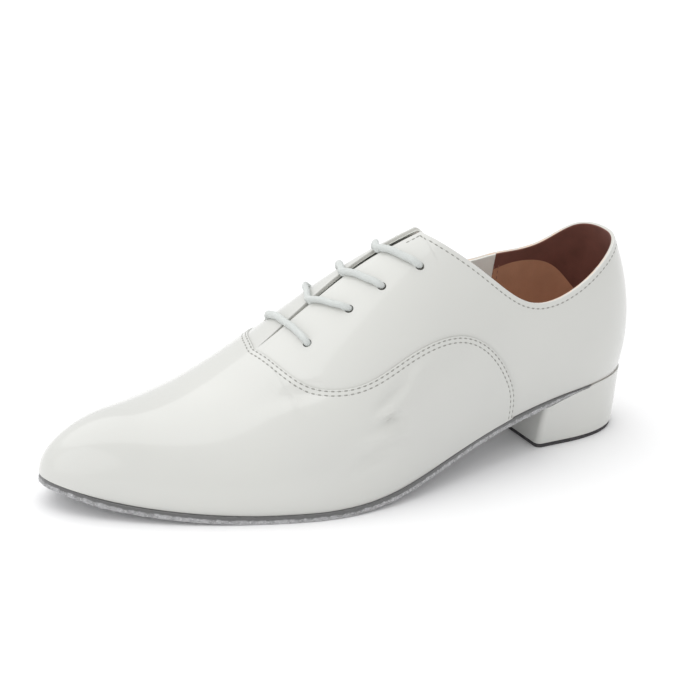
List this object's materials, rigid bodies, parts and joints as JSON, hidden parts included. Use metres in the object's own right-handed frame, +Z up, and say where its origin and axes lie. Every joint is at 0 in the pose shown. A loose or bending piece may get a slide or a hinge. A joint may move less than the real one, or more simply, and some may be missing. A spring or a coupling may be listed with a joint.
{
  "type": "ballroom dance shoe",
  "caption": "Left low-heeled lace-up dance shoe: hollow patent upper over a tongue, thin suede sole that tapers over the heel seat, insole, covered heel and top piece.",
  "frame": {"origin": "centre of the bounding box's bottom face, on the floor that the shoe stands on", "axes": "+X towards the back of the heel, -X towards the toe, -Y towards the outer side of the foot, +Z up"},
  "size_m": [0.2904, 0.1042, 0.1076],
  "materials": {
    "patent": "white patent, glossy",
    "tongue": "soft off-white, satin",
    "insole": "tan lining leather, matte",
    "suede": "grey suede, napped",
    "heel_cover": "white patent covering, glossy",
    "top_piece": "dark grey, matte",
    "lace": "waxed round cord, matte"
  },
  "bodies": {
    "root": {"upper": "patent", "tongue": "tongue", "insole": "insole", "outsole": "suede", "heel": "heel_cover", "heel_top_piece": "top_piece", "lace_bar_1": "lace", "lace_bar_2": "lace", "lace_bar_3": "lace", "lace_bar_4": "lace"}
  },
  "joints": []
}
